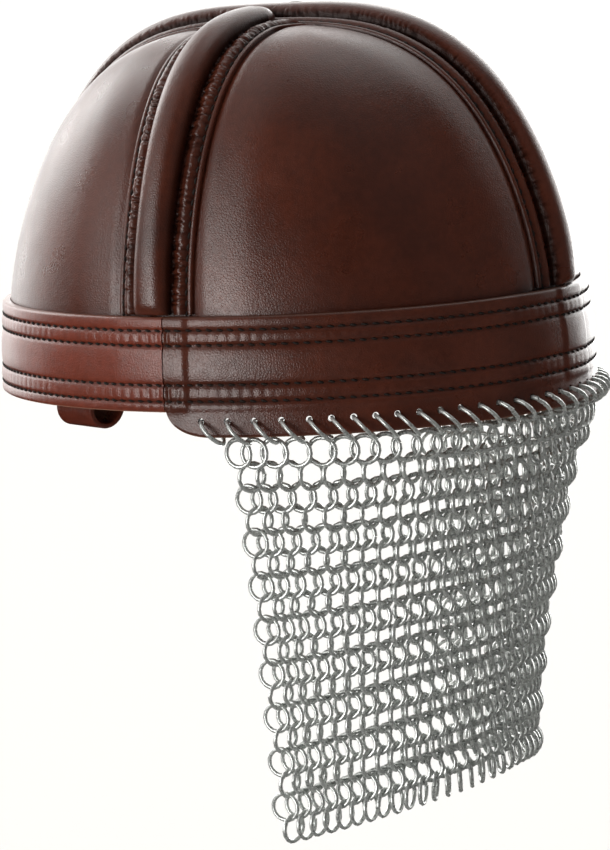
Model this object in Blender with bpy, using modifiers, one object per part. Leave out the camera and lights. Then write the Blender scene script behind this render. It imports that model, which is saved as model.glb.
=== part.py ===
"""Leather helmet with four moulded panels, raised ribs, a brow band and a hanging mail curtain.

Metres, +Z up. The wearer faces -Y, and the wearer's left is +X. The origin is the centre of the
head opening, level with the front band's lower edge.
"""
import math

import bmesh
import bpy
from mathutils import Matrix, Vector

MM = 0.001
CLEAR = 0.3 * MM                     # gap between pieces that touch

# Brow band: the plan is an ellipse, measured on the outer face at the level of FLARE_LEVEL
HALF_LENGTH = 118.0 * MM
HALF_WIDTH = 101.0 * MM
BAND_HEIGHT = 35.0 * MM
FLARE_LEVEL = 24.5 * MM
FLARE = 0.067                        # outward lean of the band's wall, mm per mm downwards
BACK_BAND_WALL = 2.4 * MM
FRONT_BAND_WALL = 2.8 * MM
LAP_ANGLE = -1.0                     # degrees behind the temple where the front piece ends
LAP_LENGTH = 8.0 * MM
SKIVED_WALL = 0.9 * MM               # back piece, thinned where it lies under the front piece

# Flap under the back band
FLAP_DROP = 9.3 * MM
FLAP_CORNER = 17.0 * MM              # length of the rounded corner along the band
HOLE_TO_EDGE = 6.0 * MM              # ring holes above the flap's lower edge
HOLE_ANGLE = 5.9                     # first and last hole, degrees from the temples

# Dome
DOME_TOP = 139.4 * MM                # panels' outer face at the crown
ROUND_ACROSS = 3.3                   # exponents of the dome's profile, across and upwards
ROUND_UP = 1.47
BACK_FULLNESS = 0.14                 # added to the upward exponent at the back, taken off at the brow
PANEL_WALL = 2.5 * MM
PANEL_HEM = 2.0 * MM                 # panels' lower edge above the band's
SEAM_DIP = 3.0 * MM                  # depth of the valley that a rib lies in
DIP_RUN = 20.0 * MM                  # length over which a panel bulges up out of it
CROWN_GAP = 3.5 * MM                 # radius left open under the crossing of the ribs

# Ribs
RIB_WIDTH = 32.0 * MM
RIDGE_WIDTH = 15.0 * MM
RIDGE_HEIGHT = 6.0 * MM              # above the flanges
FLANGE_WALL = 1.8 * MM
RIB_SEAT = 0.7 * MM                  # ribs over the seam valley, so that both faceted faces clear
SIDE_RIB_ANGLE = -4.8                # degrees, in front of the temple
RIDGE_TAPER = 14.0 * MM              # the ridge runs down to the band over this length
RIDGE_AT_BAND = 0.70                 # share of its height that is left at the band
TIP_SKIRT = 0.4 * MM                 # rim under the ridge where it lies on the long rib's flange

# Strap loops
LOOP_ANGLE = -27.0                   # degrees, in front of the temple
LOOP_WIDTH = 22.0 * MM
LOOP_DEPTH = 16.4 * MM
LOOP_DROP = 9.6 * MM                 # below the front band's edge
LOOP_TOP = 24.0 * MM                 # above it, where the two ends are sewn together
LOOP_WALL = 2.0 * MM

# Hanging rings and the mail
RING_COUNT = 39
WIDE_STEPS = 4                       # hole spacings at each end that are wider than the rest
WIDE_PITCH = 10.1 * MM
RING_SIDES = 10
WIRE_SIDES = 5
RING_RADIUS = 5.7 * MM               # centre of the wire
WIRE = 1.6 * MM
RING_LEAN = 43.0                     # degrees, each ring leans towards the wearer's right
MAIL_WALL = 3.0 * MM
MAIL_DROP = 142.4 * MM               # at the middle of the back
MAIL_EDGE_DROP = 17.0 * MM           # how much lower its front edges hang
HEM_SHARE = 0.74                     # plan of the hem as a share of the plan at the top
EDGE_MARGIN = 3.0 * MM               # mail past the first and last hanging ring
MAIL_EASE = 1.65                     # how soon the mail draws in below its top
HEM_START = 12.0                     # degrees from the temples
HEM_END = 12.0

HOLE_SIDES = 6
HOLE_RADIUS = (WIRE / 2 + CLEAR + 0.1 * MM) / math.cos(math.pi / HOLE_SIDES)


def clear_scene():
    for old in list(bpy.data.objects):
        bpy.data.objects.remove(old, do_unlink=True)


def new_collection(name):
    collection = bpy.data.collections.new(name)
    bpy.context.scene.collection.children.link(collection)
    return collection


def leather(name, colour, roughness):
    material = bpy.data.materials.new(name)
    material.use_nodes = True
    shader = material.node_tree.nodes["Principled BSDF"]
    shader.inputs["Base Color"].default_value = (*colour, 1.0)
    shader.inputs["Roughness"].default_value = roughness
    return material


def steel(name, colour, roughness):
    material = leather(name, colour, roughness)
    material.node_tree.nodes["Principled BSDF"].inputs["Metallic"].default_value = 1.0
    return material


def add_object(name, mesh, material, collection):
    mesh.materials.append(material)
    piece = bpy.data.objects.new(name, mesh)
    collection.objects.link(piece)
    return piece


def smooth_mesh(mesh, angle=35.0):
    mesh.shade_smooth()
    mesh.set_sharp_from_angle(angle=math.radians(angle))


def mesh_from_bmesh(name, bm):
    bmesh.ops.recalc_face_normals(bm, faces=bm.faces)
    mesh = bpy.data.meshes.new(name)
    bm.to_mesh(mesh)
    bm.free()
    smooth_mesh(mesh)
    return mesh


def loft(name, sections):
    """Closed body through sections of equal point counts, with flat ends."""
    bm = bmesh.new()
    rings = [[bm.verts.new(point) for point in section] for section in sections]
    count = len(rings[0])
    for lower, upper in zip(rings, rings[1:]):
        for i in range(count):
            j = (i + 1) % count
            bm.faces.new((lower[i], lower[j], upper[j], upper[i]))
    bm.faces.new(rings[0])
    bm.faces.new(rings[-1])
    return mesh_from_bmesh(name, bm)


def grid(name, rows):
    """Open surface through rows of equal point counts."""
    bm = bmesh.new()
    lines = [[bm.verts.new(point) for point in row] for row in rows]
    for lower, upper in zip(lines, lines[1:]):
        for i in range(len(lower) - 1):
            bm.faces.new((lower[i], lower[i + 1], upper[i + 1], upper[i]))
    mesh = bpy.data.meshes.new(name)
    bm.to_mesh(mesh)
    bm.free()
    smooth_mesh(mesh)
    return mesh


def solidify(piece, wall, offset):
    modifier = piece.modifiers.new("wall", "SOLIDIFY")
    modifier.thickness = wall
    modifier.offset = offset
    modifier.use_even_offset = True


def cut(piece, cutter):
    modifier = piece.modifiers.new("holes", "BOOLEAN")
    modifier.operation = "DIFFERENCE"
    modifier.object = cutter


def lerp(a, b, share):
    return a + (b - a) * share


def ease(share):
    share = min(1.0, max(0.0, share))
    return share * share * (3 - 2 * share)


def band_point(angle, z, offset):
    """Point of the band's wall: angle in degrees from the wearer's left, offset outwards."""
    spread = FLARE * (FLARE_LEVEL - z)
    turn = math.radians(angle)
    half_x = HALF_WIDTH + spread
    half_y = HALF_LENGTH + spread
    normal = Vector((math.cos(turn) / half_x, math.sin(turn) / half_y, 0)).normalized()
    return Vector((half_x * math.cos(turn), half_y * math.sin(turn), z)) + normal * offset


def band_normal(angle):
    turn = math.radians(angle)
    return Vector((math.cos(turn) / HALF_WIDTH, math.sin(turn) / HALF_LENGTH, 0)).normalized()


def band_tangent(angle):
    normal = band_normal(angle)
    return Vector((-normal.y, normal.x, 0))


def step_angle(angle, length):
    """Angle that lies the given length further along the band."""
    parts = 8
    for _ in range(parts):
        turn = math.radians(angle)
        speed = math.hypot(HALF_WIDTH * math.sin(turn), HALF_LENGTH * math.cos(turn))
        angle += math.degrees(length / parts / speed)
    return angle


def even_angles(first, last, count):
    """Angles at equal distances along the band."""
    fine = 720
    angles = [lerp(first, last, i / fine) for i in range(fine + 1)]
    reach = [0.0]
    for a, b in zip(angles, angles[1:]):
        reach.append(reach[-1] + (band_point(b, 0, 0) - band_point(a, 0, 0)).length)
    result = []
    k = 0
    for i in range(count):
        target = reach[-1] * i / (count - 1)
        while k < fine - 1 and reach[k + 1] < target:
            k += 1
        share = (target - reach[k]) / (reach[k + 1] - reach[k])
        result.append(lerp(angles[k], angles[k + 1], share))
    return result


def dome_halves():
    """Half width and half length of the dome where it comes out of the band."""
    inset = BACK_BAND_WALL + CLEAR
    spread = FLARE * (FLARE_LEVEL - BAND_HEIGHT)
    return HALF_WIDTH + spread - inset, HALF_LENGTH + spread - inset


def dome_point(direction):
    """Panels' outer envelope, seen from the middle of the band's upper rim."""
    half_x, half_y = dome_halves()
    rise = DOME_TOP - BAND_HEIGHT
    across = math.hypot(direction.x / half_x, direction.y / half_y)
    up = max(0.0, direction.z / rise)
    lean = 0.0 if across < 1e-9 else direction.y / half_y / across
    rise_power = ROUND_UP + BACK_FULLNESS * lean * min(1.0, 2 * across / (across + up))
    low, high = 0.0, 2.0 / max(across, up)
    for _ in range(40):
        middle = (low + high) / 2
        if (middle * across) ** ROUND_ACROSS + (middle * up) ** rise_power < 1.0:
            low = middle
        else:
            high = middle
    return Vector((0, 0, BAND_HEIGHT)) + direction * low


def dome_frame(direction, side):
    """Point of the envelope and its outward normal; side is a direction across the way."""
    point = dome_point(direction)
    small = 0.5 * MM
    other = direction.cross(side).normalized() * small
    across = side.normalized() * small
    scaled = direction.normalized() * (point - Vector((0, 0, BAND_HEIGHT))).length
    one = dome_point(scaled + other) - point
    two = dome_point(scaled + across) - point
    normal = one.cross(two).normalized()
    if normal.dot(scaled) < 0:
        normal = -normal
    return point, normal


def side_rib_direction():
    turn = math.radians(SIDE_RIB_ANGLE)
    return Vector((math.cos(turn), math.sin(turn), 0))


def seam_depth(point):
    """How far the panel lies under its envelope, from its distance to the nearest rib."""
    along = side_rib_direction()
    to_side = abs(abs(point.x) * along.y - point.y * along.x)
    distance = min(abs(point.x), to_side) - RIB_WIDTH / 2
    return SEAM_DIP * (1 - ease(distance / DIP_RUN))


def panel_rows(first, last):
    """Rows of a panel's outer face from hem to crown, between two rib angles."""
    columns = 10
    rises = 12
    half_x, half_y = dome_halves()
    angles = [lerp(first, last, j / columns) for j in range(columns + 1)]
    rows = [[panel_wall_point(angle, z) for angle in angles] for z in (PANEL_HEM, BAND_HEIGHT)]
    for i in range(1, rises + 1):
        climb = math.pi / 2 * i / rises
        row = []
        for angle in angles:
            turn = math.radians(angle)
            flat = Vector((half_x * math.cos(turn), half_y * math.sin(turn), 0))
            reach = max(math.cos(climb), CROWN_GAP / flat.length)
            direction = flat * reach
            direction.z = (DOME_TOP - BAND_HEIGHT) * math.sin(climb)
            point, normal = dome_frame(direction, Vector((-flat.y, flat.x, 0)))
            row.append(point - normal * seam_depth(point))
        rows.append(row)
    return rows


def panel_wall_point(angle, z):
    """Panel behind the band, where it follows the band's wall."""
    inset = BACK_BAND_WALL + CLEAR
    point = band_point(angle, z, -inset)
    return point - band_normal(angle) * seam_depth(point)


def mirrored(mesh, name):
    """The same piece for the wearer's right side."""
    copy = mesh.copy()
    copy.name = name
    copy.transform(Matrix.Scale(-1, 4, (1, 0, 0)))
    copy.flip_normals()
    return copy


def seam_angle(angle, side):
    """Panel edge, half a gap from the seam's middle at the band."""
    return step_angle(angle, side * CLEAR)


def make_panels(material, collection):
    spans = (
        ("panel_front_left", seam_angle(-90.0, 1), seam_angle(SIDE_RIB_ANGLE, -1)),
        ("panel_back_left", seam_angle(SIDE_RIB_ANGLE, 1), seam_angle(90.0, -1)),
    )
    for name, first, last in spans:
        left = grid(name, panel_rows(first, last))
        right_name = name.replace("left", "right")
        right = mirrored(left, right_name)
        for label, mesh in ((name, left), (right_name, right)):
            piece = add_object(label, mesh, material, collection)
            solidify(piece, PANEL_WALL, -1.0)


def rib_section(half, wall, ridge, lift):
    """Rib profile as pairs of distance across and height over the envelope, left to right."""
    core = RIDGE_WIDTH / 2
    steps = 6
    top = [(-half, lift + wall)]
    for i in range(steps + 1):
        turn = math.pi * (1 - i / steps)
        top.append((core * math.cos(turn), lift + wall + ridge * math.sin(turn)))
    top.append((half, lift + wall))
    bottom = [(half, lift), (core, lift), (-core, lift), (-half, lift)]
    return top + bottom


def climb_direction(plane, climb):
    """Direction from the middle of the band's rim that climbs the dome over a compass direction."""
    half_x, half_y = dome_halves()
    reach = 1 / math.hypot(plane.x / half_x, plane.y / half_y)
    turn = math.radians(climb)
    upwards = Vector((0, 0, (DOME_TOP - BAND_HEIGHT) * math.sin(turn)))
    return plane * (reach * math.cos(turn)) + upwards


def climb_at(plane, distance):
    """Climb, in degrees, at which the dome is this far from its axis."""
    low, high = 0.0, 90.0
    for _ in range(30):
        middle = (low + high) / 2
        if dome_point(climb_direction(plane, middle)).dot(plane) > distance:
            low = middle
        else:
            high = middle
    return low


def placed_section(plane, across, climb, profile):
    """A rib's profile, laid over the dome at a climb."""
    direction = climb_direction(plane, climb)
    _, normal = dome_frame(direction, across)
    section = []
    for distance, lift in profile:
        point, _ = dome_frame(direction + across * distance, across)
        section.append(point + normal * lift)
    return section


def full_section(plane, across, climb):
    """The whole strip: two flanges and the ridge, which runs down towards the band."""
    height = dome_point(climb_direction(plane, climb)).z - BAND_HEIGHT
    ridge = RIDGE_HEIGHT * lerp(RIDGE_AT_BAND, 1.0, ease(height / RIDGE_TAPER))
    profile = rib_section(RIB_WIDTH / 2, FLANGE_WALL, ridge, RIB_SEAT - SEAM_DIP)
    return placed_section(plane, across, climb, profile)


def tip_section(plane, across, climb, share):
    """The side rib's ridge alone, where it lies on the long rib's flange and rounds off."""
    lift = 2 * RIB_SEAT + FLANGE_WALL - SEAM_DIP
    ridge = (RIDGE_HEIGHT - RIB_SEAT - TIP_SKIRT) * math.sqrt(1 - (0.97 * share) ** 2)
    profile = rib_section(RIDGE_WIDTH / 2 + TIP_SKIRT, TIP_SKIRT, ridge, lift)
    return placed_section(plane, across, climb, profile)


def make_long_rib(material, collection):
    steps = 24
    low = lowest_climb()
    back = Vector((0, 1, 0))
    across = Vector((1, 0, 0))
    climbs = [lerp(low, 180 - low, i / steps) for i in range(steps + 1)]
    sections = [full_section(back, across, climb) for climb in climbs]
    add_object("rib_front_back", loft("rib_front_back", sections), material, collection)


def lowest_climb():
    """Elevation angle at which a rib starts, just clear of the band's upper edge."""
    return math.degrees(math.asin(CLEAR / (DOME_TOP - BAND_HEIGHT))) + 0.1


def make_side_ribs(material, collection):
    steps = 11
    plane = side_rib_direction()
    across = Vector((-plane.y, plane.x, 0))
    low = lowest_climb()
    flange_stop = RIB_WIDTH / 2 * (1 + abs(plane.y) + 0.02) + 2 * CLEAR
    ridge_stop = RIDGE_WIDTH / 2 * (1 + abs(plane.y)) + 3 * CLEAR
    high = climb_at(plane, flange_stop)
    climbs = [lerp(low, high, i / steps) for i in range(steps + 1)]
    sections = [full_section(plane, across, climb) for climb in climbs]
    round_start = min(flange_stop - CLEAR, ridge_stop + RIDGE_WIDTH / 2)
    tip_start = climb_at(plane, flange_stop - CLEAR)
    sections.append(tip_section(plane, across, tip_start, 0.0))
    for share in (0.0, 0.5, 0.85, 1.0):
        climb = climb_at(plane, lerp(round_start, ridge_stop, share))
        if climb > tip_start + 0.01:
            sections.append(tip_section(plane, across, climb, share))
    left = loft("rib_left", sections)
    right = mirrored(left, "rib_right")
    add_object("rib_left", left, material, collection)
    add_object("rib_right", right, material, collection)


def band_section(angle, low, high, inner, outer):
    return [
        band_point(angle, low, inner),
        band_point(angle, low, outer),
        band_point(angle, high, outer),
        band_point(angle, high, inner),
    ]


def make_front_band(material, collection):
    last = LAP_ANGLE
    first = -180.0 - LAP_ANGLE
    inner = -BACK_BAND_WALL
    over = SKIVED_WALL + CLEAR - BACK_BAND_WALL
    outer = inner + FRONT_BAND_WALL
    lap = step_angle(last, -LAP_LENGTH - 2 * CLEAR)
    lap_end = step_angle(last, -LAP_LENGTH)
    steps = 36
    far_lap = -180.0 - lap
    far_lap_end = -180.0 - lap_end
    sections = [band_section(first, 0, BAND_HEIGHT, over, outer)]
    sections.append(band_section(far_lap_end, 0, BAND_HEIGHT, over, outer))
    for i in range(steps + 1):
        angle = lerp(far_lap, lap, i / steps)
        sections.append(band_section(angle, 0, BAND_HEIGHT, inner, outer))
    sections.append(band_section(lap_end, 0, BAND_HEIGHT, over, outer))
    sections.append(band_section(last, 0, BAND_HEIGHT, over, outer))
    add_object("band_front", loft("band_front", sections), material, collection)


def flap_edge(length):
    """Height of the back band's lower edge, at a length from the lap."""
    share = min(1.0, max(0.0, length / FLAP_CORNER))
    return -FLAP_DROP * math.sqrt(max(0.0, 1 - (1 - share) ** 2))


def make_back_band(material, collection, holes):
    inner = -BACK_BAND_WALL
    thin = SKIVED_WALL - BACK_BAND_WALL
    start = step_angle(LAP_ANGLE, CLEAR)
    tuck = step_angle(LAP_ANGLE, -LAP_LENGTH + CLEAR)
    corner_shares = (0.0, 0.06, 0.2, 0.4, 0.65, 1.0)
    side = [band_section(tuck, 0, BAND_HEIGHT, inner, thin)]
    side.append(band_section(LAP_ANGLE, 0, BAND_HEIGHT, inner, thin))
    for share in corner_shares:
        length = share * FLAP_CORNER
        angle = step_angle(start, length)
        side.append(band_section(angle, flap_edge(length), BAND_HEIGHT, inner, 0))
    corner_end = step_angle(start, FLAP_CORNER)
    steps = 28
    middle = []
    for i in range(1, steps):
        angle = lerp(corner_end, 180.0 - corner_end, i / steps)
        middle.append(band_section(angle, -FLAP_DROP, BAND_HEIGHT, inner, 0))
    far = [[Vector((-p.x, p.y, p.z)) for p in section] for section in reversed(side)]
    mesh = loft("band_back", side + middle + far)
    piece = add_object("band_back", mesh, material, collection)
    cut(piece, holes)


def hole_angles():
    """The flap's holes from left to right: wider steps near its two ends, even ones between."""
    first = [HOLE_ANGLE]
    for _ in range(WIDE_STEPS):
        first.append(step_angle(first[-1], WIDE_PITCH))
    last = [180.0 - angle for angle in reversed(first)]
    return first + even_angles(first[-1], last[0], RING_COUNT - 2 * WIDE_STEPS)[1:-1] + last


def ring_places():
    """For each hanging ring: its hole in the flap, the tangent there and its lower end."""
    z = HOLE_TO_EDGE - FLAP_DROP
    lean = math.radians(RING_LEAN)
    places = []
    for angle in hole_angles():
        middle_angle = step_angle(angle, RING_RADIUS * math.sin(lean))
        end_angle = step_angle(angle, 2 * RING_RADIUS * math.sin(lean))
        top = band_point(angle, z, -BACK_BAND_WALL / 2)
        drop = 2 * RING_RADIUS * math.cos(lean)
        low = top + band_tangent(middle_angle) * 2 * RING_RADIUS * math.sin(lean)
        low.z = z - drop
        places.append((angle, middle_angle, end_angle, top, low))
    return places


def hole_cutters(name, points, length, collection):
    """One mesh of short rods, each along the wall's normal."""
    bm = bmesh.new()
    for point, normal in points:
        turn = normal.to_track_quat("Z", "Y").to_matrix().to_4x4()
        matrix = Matrix.Translation(point) @ turn
        bmesh.ops.create_cone(
            bm, cap_ends=True, segments=HOLE_SIDES, radius1=HOLE_RADIUS, radius2=HOLE_RADIUS,
            depth=length, matrix=matrix)
    mesh = bpy.data.meshes.new(name)
    bm.to_mesh(mesh)
    bm.free()
    cutter = bpy.data.objects.new(name, mesh)
    cutter.hide_render = True
    cutter.display_type = "WIRE"
    collection.objects.link(cutter)
    return cutter


def make_rings(places, material, collection):
    bpy.ops.mesh.primitive_torus_add(
        major_segments=RING_SIDES, minor_segments=WIRE_SIDES,
        major_radius=RING_RADIUS / math.cos(math.pi / RING_SIDES), minor_radius=WIRE / 2)
    pattern = bpy.context.object
    mesh = pattern.data
    mesh.name = "hanging_ring"
    mesh.transform(Matrix.Rotation(math.pi / RING_SIDES, 4, "Z"))
    smooth_mesh(mesh, 60.0)
    mesh.materials.append(material)
    bpy.data.objects.remove(pattern, do_unlink=True)
    for i, (_, middle_angle, _, top, low) in enumerate(places):
        down = (low - top).normalized()
        out = band_normal(middle_angle)
        out = (out - down * out.dot(down)).normalized()
        axis = down.cross(out)
        turn = Matrix((down, out, axis)).transposed().to_4x4()
        ring = bpy.data.objects.new("hanging_ring_%02d" % (i + 1), mesh)
        ring.matrix_world = Matrix.Translation((top + low) / 2) @ turn
        collection.objects.link(ring)


def mail_point(across, down, places):
    """Middle of the mail's thickness; across runs 0 to 1 along it, down 0 to 1 to the hem."""
    link_level = places[0][4].z
    top = -FLAP_DROP - CLEAR
    start = lerp(step_angle(places[0][2], -EDGE_MARGIN), HEM_START, down)
    end = lerp(step_angle(places[-1][2], EDGE_MARGIN), 180.0 - HEM_END, down)
    angle = lerp(start, end, across)
    drop = MAIL_DROP + MAIL_EDGE_DROP * abs(2 * across - 1) ** 3
    z = top - drop * down
    below = max(0.0, (link_level - z) / (drop + top - link_level + 1e-9))
    share = 1 - (1 - HEM_SHARE) * (1 - (1 - min(1.0, below)) ** MAIL_EASE)
    wall = band_point(angle, link_level, -BACK_BAND_WALL / 2)
    return Vector((wall.x * share, wall.y * share, z))


def make_mail(places, material, collection, holes):
    columns = 24
    shares = (0.0, 0.025, 0.12, 0.25, 0.40, 0.58, 0.78, 1.0)
    rows = []
    for down in shares:
        rows.append([mail_point(i / columns, down, places) for i in range(columns + 1)])
    piece = add_object("mail_curtain", grid("mail_curtain", rows), material, collection)
    solidify(piece, MAIL_WALL, 0.0)
    cut(piece, holes)


def loop_outline(inset):
    """Loop in its own plane: x inwards from the helmet's wall, z up, from the sewn end round."""
    radius = LOOP_DEPTH / 2 - inset
    centre_z = LOOP_DEPTH / 2 - LOOP_DROP
    steps = 10
    points = [(inset, LOOP_TOP - 2 * inset)]
    for i in range(steps + 1):
        turn = math.pi + math.pi * i / steps
        points.append((LOOP_DEPTH / 2 + radius * math.cos(turn), centre_z + radius * math.sin(turn)))
    bend = LOOP_DEPTH - inset
    points.append((bend - 0.12 * LOOP_DEPTH, lerp(centre_z, LOOP_TOP, 0.4)))
    points.append((lerp(inset, bend, 0.42) + 0.1 * inset, lerp(centre_z, LOOP_TOP, 0.75) - 0.5 * inset))
    return points


def make_loops(material, collection):
    near_edge = step_angle(LOOP_ANGLE, LOOP_WIDTH / 2)
    bow = LOOP_WIDTH ** 2 / 8 / HALF_WIDTH
    valley = seam_depth(band_point(near_edge, LOOP_TOP, -BACK_BAND_WALL - CLEAR))
    seat = -(BACK_BAND_WALL + PANEL_WALL + 2 * CLEAR + bow + valley)
    tangent = band_tangent(LOOP_ANGLE)
    inwards = -band_normal(LOOP_ANGLE)
    bm = bmesh.new()
    rims = []
    for side in (-0.5, 0.5):
        for inset in (0.0, LOOP_WALL):
            rim = []
            for x, z in loop_outline(inset):
                wall = band_point(LOOP_ANGLE, z, seat)
                rim.append(bm.verts.new(wall + tangent * (side * LOOP_WIDTH) + inwards * x))
            rims.append(rim)
    near_out, near_in, far_out, far_in = rims
    count = len(near_out)
    for i in range(count):
        j = (i + 1) % count
        bm.faces.new((near_out[i], near_out[j], near_in[j], near_in[i]))
        bm.faces.new((far_out[i], far_out[j], far_in[j], far_in[i]))
        bm.faces.new((near_out[i], near_out[j], far_out[j], far_out[i]))
        bm.faces.new((near_in[i], near_in[j], far_in[j], far_in[i]))
    left = mesh_from_bmesh("strap_loop_left", bm)
    right = mirrored(left, "strap_loop_right")
    add_object("strap_loop_left", left, material, collection)
    add_object("strap_loop_right", right, material, collection)


def main():
    clear_scene()
    parts = new_collection("leather_helmet_with_mail")
    tools = new_collection("cutters")
    dark_leather = leather("brown_leather", (0.110, 0.032, 0.022), 0.38)
    red_leather = leather("red_brown_leather", (0.165, 0.045, 0.028), 0.36)
    galvanised = steel("galvanised_steel", (0.52, 0.54, 0.53), 0.34)
    places = ring_places()
    make_panels(dark_leather, parts)
    make_long_rib(dark_leather, parts)
    make_side_ribs(dark_leather, parts)
    make_front_band(red_leather, parts)
    flap_points = [(top, band_normal(angle)) for angle, _, _, top, _ in places]
    flap_holes = hole_cutters("flap_holes", flap_points, 4 * BACK_BAND_WALL, tools)
    make_back_band(dark_leather, parts, flap_holes)
    make_loops(red_leather, parts)
    mail_points = [(low, band_normal(middle)) for _, middle, _, _, low in places]
    mail_holes = hole_cutters("mail_holes", mail_points, 4 * MAIL_WALL, tools)
    make_mail(places, galvanised, parts, mail_holes)
    make_rings(places, galvanised, parts)


main()
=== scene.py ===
"""Leather helmet with a mail curtain: the looks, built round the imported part.

Metres, +Z up. The wearer faces -Y, and the wearer's left is +X. The origin is the centre of the head
opening, level with the front band's lower edge. Sizes that end in _mm are millimetres.
"""
import math

import bpy
import numpy as np
from mathutils import Matrix, Vector


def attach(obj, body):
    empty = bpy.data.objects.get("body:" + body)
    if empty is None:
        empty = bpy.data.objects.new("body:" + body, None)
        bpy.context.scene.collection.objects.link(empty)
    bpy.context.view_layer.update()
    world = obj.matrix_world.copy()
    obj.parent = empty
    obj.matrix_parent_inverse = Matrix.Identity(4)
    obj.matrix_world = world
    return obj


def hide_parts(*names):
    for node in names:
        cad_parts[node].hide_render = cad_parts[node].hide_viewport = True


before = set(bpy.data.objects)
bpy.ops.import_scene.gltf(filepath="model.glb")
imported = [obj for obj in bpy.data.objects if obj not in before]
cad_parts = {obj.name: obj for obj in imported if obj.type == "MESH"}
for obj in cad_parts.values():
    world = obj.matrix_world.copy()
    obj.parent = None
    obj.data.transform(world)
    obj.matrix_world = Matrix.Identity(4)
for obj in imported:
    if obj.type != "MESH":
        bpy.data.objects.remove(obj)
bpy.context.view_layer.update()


# Studio. A pale floor far below the helmet and soft boxes all round it: the strongest to the left of
# the camera and beyond the helmet, and hardly any on its right. The camera was fitted to the photo by
# the band's stitch rows.

MM = 0.001


def srgb(code):
    """Linear colour of a hex value."""
    parts = [int(code[i:i + 2], 16) / 255 for i in (1, 3, 5)]
    return [p / 12.92 if p <= 0.04045 else ((p + 0.055) / 1.055) ** 2.4 for p in parts] + [1.0]


def add_node(tree, kind, inputs=None, **settings):
    """Adds a node; inputs gives sockets, by name or number, a value or another node's output."""
    node = tree.nodes.new(kind)
    for name, value in settings.items():
        setattr(node, name, value)
    for key, value in (inputs or {}).items():
        if isinstance(value, bpy.types.NodeSocket):
            tree.links.new(value, node.inputs[key])
        else:
            node.inputs[key].default_value = value
    return node


def new_material(name):
    """A material with an empty tree but for its surface shader, and that shader."""
    material = bpy.data.materials.new(name)
    material.use_nodes = True
    tree = material.node_tree
    return material, tree, tree.nodes["Principled BSDF"]


def combined(tree, operation, first, second):
    """The sum, product, quotient or difference of two values or outputs."""
    return add_node(tree, "ShaderNodeMath", {0: first, 1: second}, operation=operation).outputs[0]


def new_piece(name, mesh, materials):
    """A mesh object at the origin with its materials."""
    piece = bpy.data.objects.new(name, mesh)
    bpy.context.scene.collection.objects.link(piece)
    for material in materials:
        mesh.materials.append(material)
    return piece


floor_level = -0.62
floor_reach = 40.0
floor_mesh = bpy.data.meshes.new("floor")
floor_mesh.from_pydata(
    [(x * floor_reach, y * floor_reach, floor_level) for x, y in ((-1, -1), (1, -1), (1, 1), (-1, 1))],
    [], [(0, 1, 2, 3)])
floor_paint, _, floor_shader = new_material("matt_floor_paint")
floor_shader.inputs["Base Color"].default_value = srgb("#f6f5f3")
floor_shader.inputs["Roughness"].default_value = 0.9
floor = new_piece("floor", floor_mesh, [floor_paint])
floor.visible_glossy = False

camera_azimuth = math.radians(117.475)
camera_elevation = math.radians(8.265)
camera_roll = math.radians(-3.241)
camera_distance = 1.4
camera_lens_mm = 150.85
camera_film_mm = 36.0
aim_right_mm = 2.888
aim_up_mm = -20.322
lens_back = Vector((
    math.sin(camera_azimuth) * math.cos(camera_elevation),
    -math.cos(camera_azimuth) * math.cos(camera_elevation),
    math.sin(camera_elevation)))
level_right = (-lens_back).cross(Vector((0, 0, 1))).normalized()
level_up = level_right.cross(-lens_back)
lens_right = level_right * math.cos(camera_roll) + level_up * math.sin(camera_roll)
lens_up = level_up * math.cos(camera_roll) - level_right * math.sin(camera_roll)
camera_data = bpy.data.cameras.new("camera")
camera_data.sensor_fit = "VERTICAL"
camera_data.sensor_height = camera_film_mm
camera_data.lens = camera_lens_mm
camera_data.clip_end = 100.0
camera = bpy.data.objects.new("camera", camera_data)
camera_aim = lens_right * aim_right_mm * MM + lens_up * aim_up_mm * MM
camera.matrix_world = (
    Matrix.Translation(camera_aim + lens_back * camera_distance)
    @ Matrix((lens_right, lens_up, lens_back)).transposed().to_4x4())
bpy.context.scene.collection.objects.link(camera)
bpy.context.scene.camera = camera

# Soft boxes round the helmet: bearing in degrees from +X, elevation, half width and strength
bright_core = 0.45
soft_boxes = (
    (-34, -2, 17, 1.14),
    (-18, -2, 17, 8.38),
    (-2, -2, 17, 1.07),
    (-66, 18, 17, 0.89),
    (-34, 18, 17, 4.64),
    (160, 6, 24, 0.79),
    (182, 6, 24, 5.96),
    (204, 6, 24, 1.59),
    (226, 6, 24, 1.51),
    (250, 6, 24, 2.77),
    (160, 32, 24, 1.15),
    (182, 32, 24, 0.36),
    (204, 32, 24, 1.81),
    (250, 32, 24, 4.67),
    (100, 20, 40, 0.07),
    (60, 50, 34, 0.16),
    (300, 48, 34, 0.59),
    (180, 66, 30, 1.30),
    (0, 90, 34, 0.33),
)
world = bpy.data.worlds.new("studio")
world.use_nodes = True
bpy.context.scene.world = world
world_tree = world.node_tree
direction = add_node(world_tree, "ShaderNodeTexCoord").outputs["Generated"]
radiance = None
for bearing, elevation, half_width, strength in soft_boxes:
    turn, climb = math.radians(bearing), math.radians(elevation)
    box_way = (math.cos(turn) * math.cos(climb), math.sin(turn) * math.cos(climb), math.sin(climb))
    facing = add_node(world_tree, "ShaderNodeVectorMath", {
        0: direction, 1: box_way}, operation="DOT_PRODUCT")
    glow = add_node(world_tree, "ShaderNodeMapRange", {
        "Value": facing.outputs["Value"], "From Min": math.cos(math.radians(half_width)),
        "From Max": math.cos(math.radians(half_width * bright_core)), "To Max": strength},
        interpolation_type="SMOOTHSTEP").outputs["Result"]
    radiance = glow if radiance is None else combined(world_tree, "ADD", radiance, glow)
backdrop = world_tree.nodes["Background"]
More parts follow.
